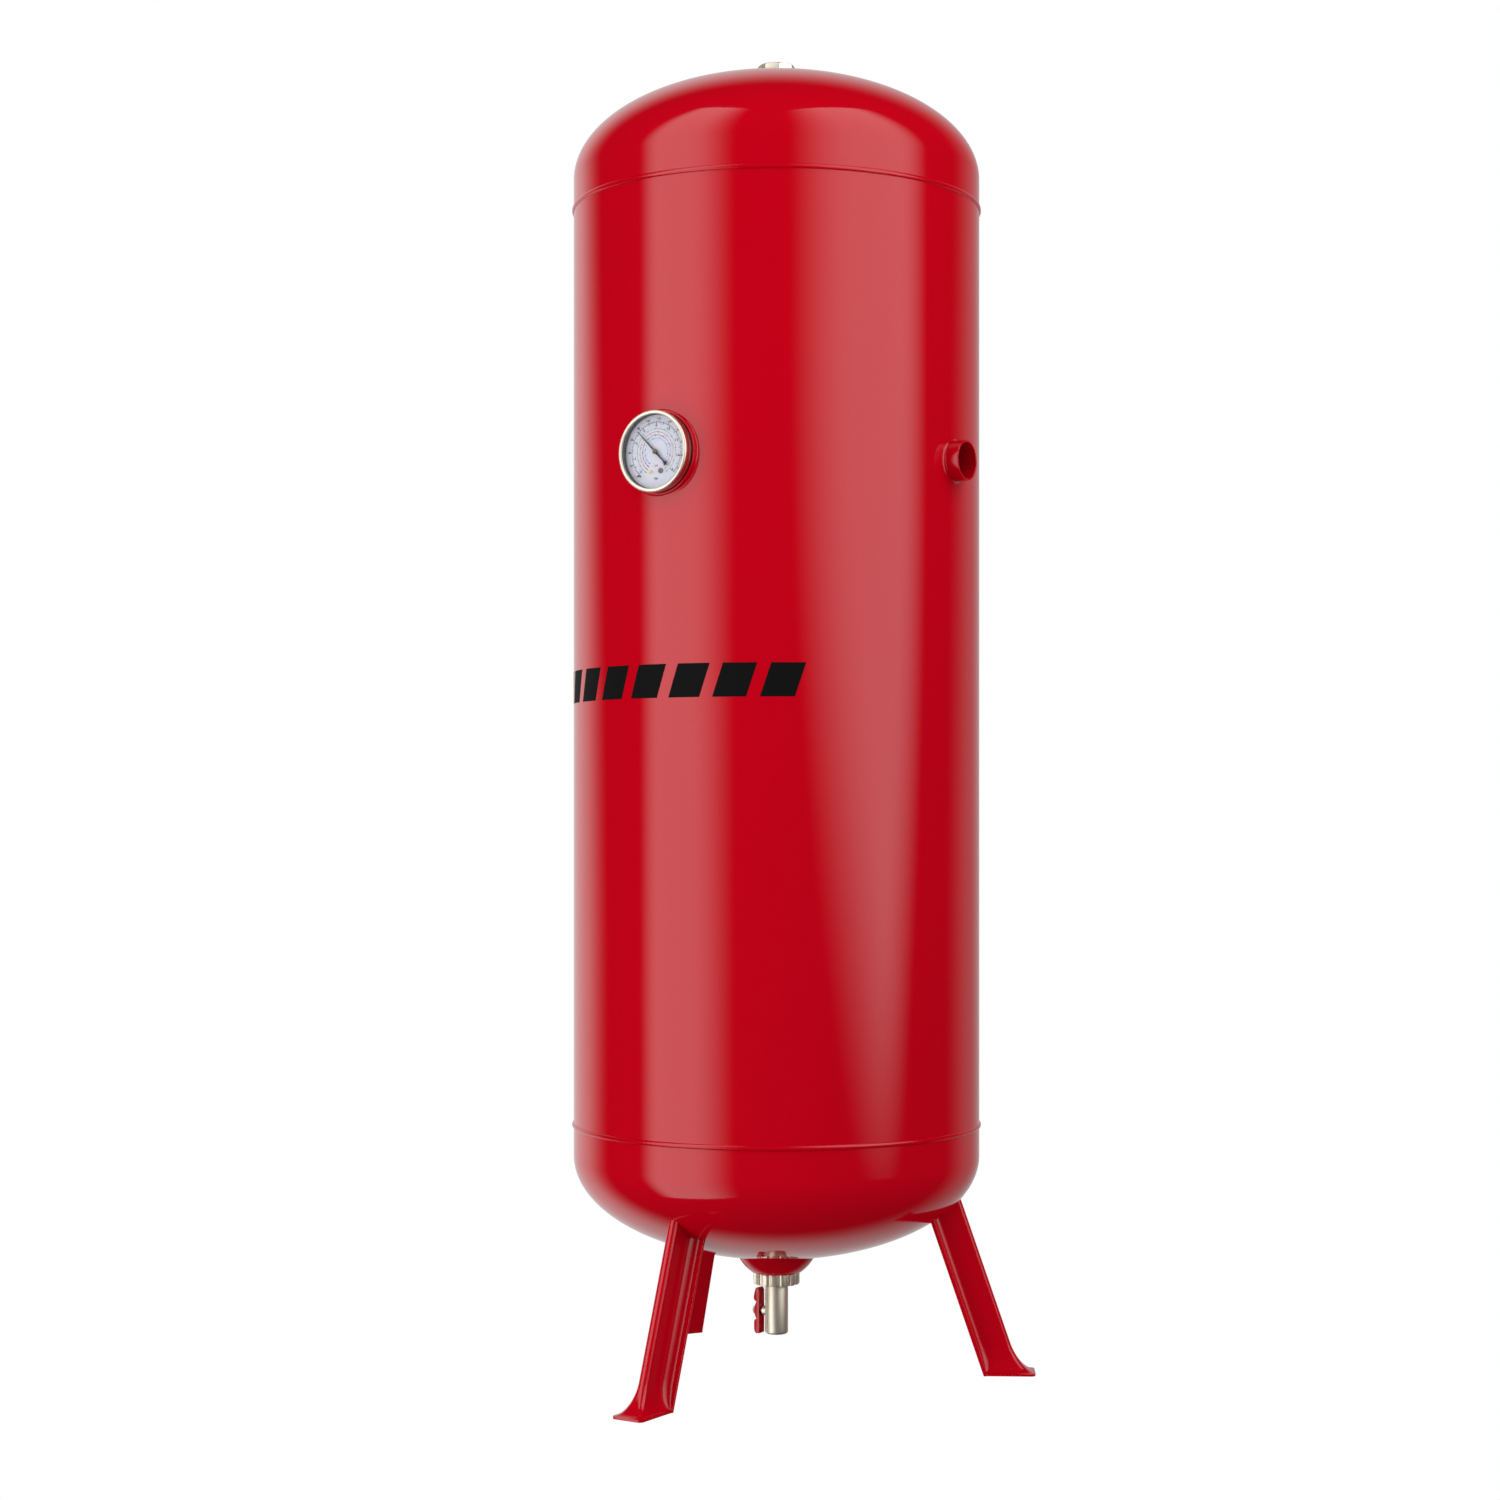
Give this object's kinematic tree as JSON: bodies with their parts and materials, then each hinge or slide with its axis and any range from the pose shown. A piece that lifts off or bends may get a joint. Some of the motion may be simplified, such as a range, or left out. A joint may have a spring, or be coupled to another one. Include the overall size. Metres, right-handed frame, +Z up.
{
  "type": "vertical air receiver",
  "caption": "Upright red steel air receiver with domed ends on splayed pressed legs, a dial gauge, open side sockets, a top plug and a drain valve with a butterfly handle.",
  "frame": {"origin": "on the tank's axis at floor level", "axes": "+Z up along the tank's axis, -Y the way the gauge faces, +X towards the outlet socket"},
  "size_m": [0.57, 0.5719, 1.6125],
  "materials": {
    "red_gloss_enamel": "gloss",
    "weld_enamel": "gloss",
    "nickel": "satin nickel plate",
    "stainless": "polished",
    "brass": "machined",
    "dial_white": "matt printed",
    "matt_black": "matt",
    "lens": "clear",
    "rubber": "matt",
    "ptfe": "satin",
    "bronze": "drawn",
    "steel": "oiled",
    "copper": "annealed"
  },
  "bodies": {
    "tank": {"shell": "red_gloss_enamel", "top_head": "red_gloss_enamel", "bottom_head": "red_gloss_enamel", "top_girth_weld": "weld_enamel", "bottom_girth_weld": "weld_enamel", "long_seam_weld": "weld_enamel", "front_leg": "red_gloss_enamel", "right_leg": "red_gloss_enamel", "left_leg": "red_gloss_enamel", "top_boss": "red_gloss_enamel", "top_plug": "nickel", "top_plug_seal": "copper", "outlet_socket": "red_gloss_enamel", "inlet_socket": "red_gloss_enamel", "outlet_weld": "weld_enamel", "inlet_weld": "weld_enamel", "gauge_well": "red_gloss_enamel", "gauge_case": "stainless", "gauge_bezel": "nickel", "gauge_lens": "lens", "lens_gasket": "rubber", "gauge_dial": "dial_white", "dial_brass_screw": "brass", "dial_steel_screw": "steel", "dial_posts": "brass", "stop_pin": "matt_black", "gauge_socket": "brass", "stem_washer": "copper", "bourdon_tube": "bronze", "tube_tip": "brass", "back_plate": "brass", "front_plate": "brass", "plate_pillars": "brass", "drain_boss": "red_gloss_enamel", "ring_nut": "nickel", "valve_body": "nickel", "valve_insert": "nickel", "ball_seats": "ptfe", "stem_seal": "rubber", "stem_gland": "nickel"},
    "drain_tap": {"drain_handle": "red_gloss_enamel", "handle_nut": "nickel", "drain_stem": "nickel", "drain_ball": "stainless"},
    "sector": {"sector_gear": "brass", "sector_arbor": "steel", "tail_pin": "steel"},
    "pointer": {"gauge_pointer": "matt_black", "pointer_hub": "brass", "pinion_arbor": "brass", "hairspring": "bronze"},
    "tip_link": {"link": "brass"}
  },
  "joints": [
    {"name": "drain_turn", "type": "hinge", "parent": "tank", "child": "drain_tap", "pos_m": [-0.0143, 0, 0.073], "axis": [1, 0, 0], "range_deg": [0, 90]},
    {"name": "sector_turn", "type": "hinge", "parent": "tank", "child": "sector", "pos_m": [0, -0.2476, 1.083], "axis": [0, 1, 0], "range_deg": [-36, 18], "stiffness_Nm_per_rad": 0.002},
    {"name": "pointer_turn", "type": "hinge", "parent": "tank", "child": "pointer", "pos_m": [0, -0.2476, 1.107], "axis": [0, 1, 0], "range_deg": [-90, 180]},
    {"name": "link_turn", "type": "hinge", "parent": "sector", "child": "tip_link", "pos_m": [0.00139, -0.2489, 1.07512], "axis": [0, 1, 0], "range_deg": [-18, 36]}
  ],
  "couplings": [
    {"joint": "pointer_turn", "follows": "sector_turn", "ratio": -5},
    {"joint": "link_turn", "follows": "sector_turn", "ratio": -1}
  ]
}
